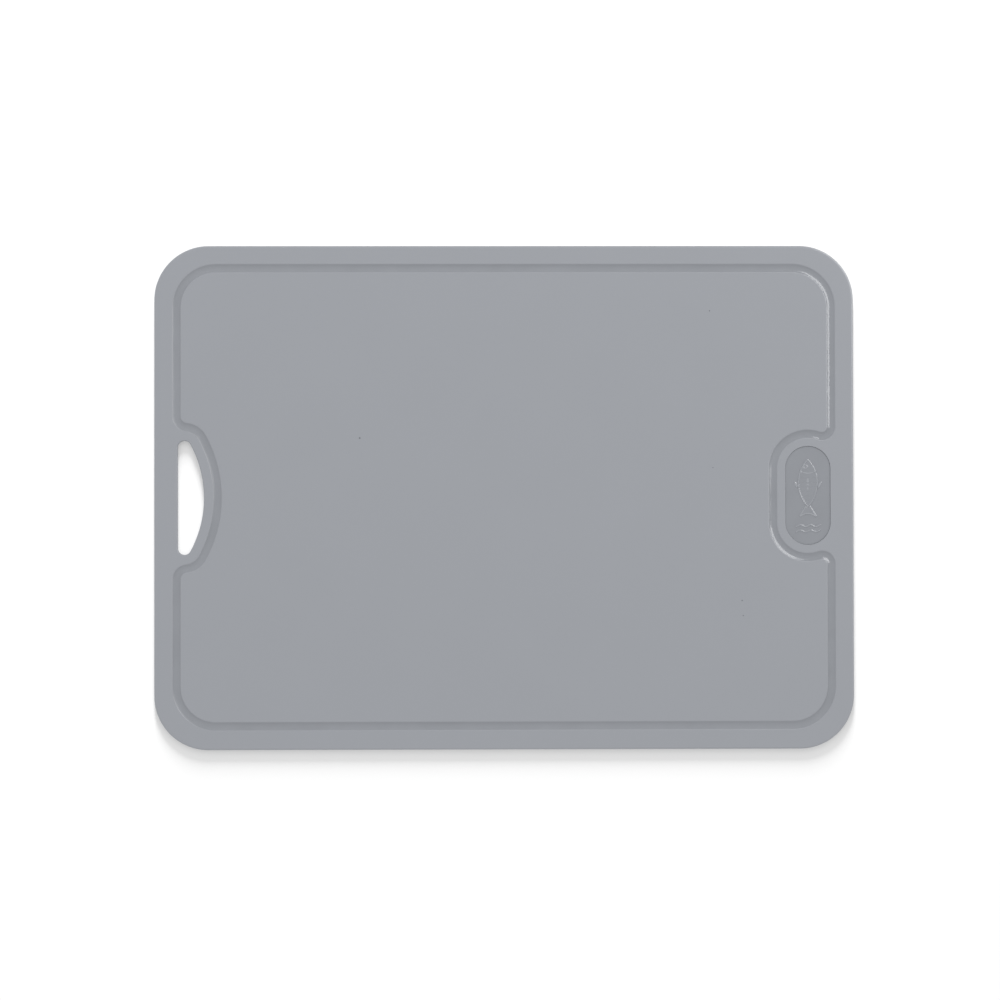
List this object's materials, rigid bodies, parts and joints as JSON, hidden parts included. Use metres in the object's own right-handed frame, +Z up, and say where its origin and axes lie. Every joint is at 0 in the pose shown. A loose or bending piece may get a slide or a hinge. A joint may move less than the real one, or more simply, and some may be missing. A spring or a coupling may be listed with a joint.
{
  "type": "flexible cutting mat",
  "caption": "Flexible rectangular cutting mat with rounded corners, a juice groove round the panel, a D-shaped hand slot and a seated oval food sign.",
  "frame": {"origin": "centre of the underside, on the surface that the mat lies on", "axes": "+X along the long side, away from the hand slot and towards the food sign; +Y along the short side, towards the back edge, which is the upper edge in the picture; +Z up, out of the cutting face"},
  "size_m": [0.375, 0.27, 0.003],
  "materials": {
    "sheet_plastic": "satin moulded sheet, polished in the groove",
    "badge_plastic": "polished moulded plate",
    "backing_elastomer": "matt soft elastomer"
  },
  "bodies": {
    "root": {"mat_sheet": "sheet_plastic", "sign_badge": "badge_plastic", "grip_backing": "backing_elastomer"}
  },
  "joints": []
}
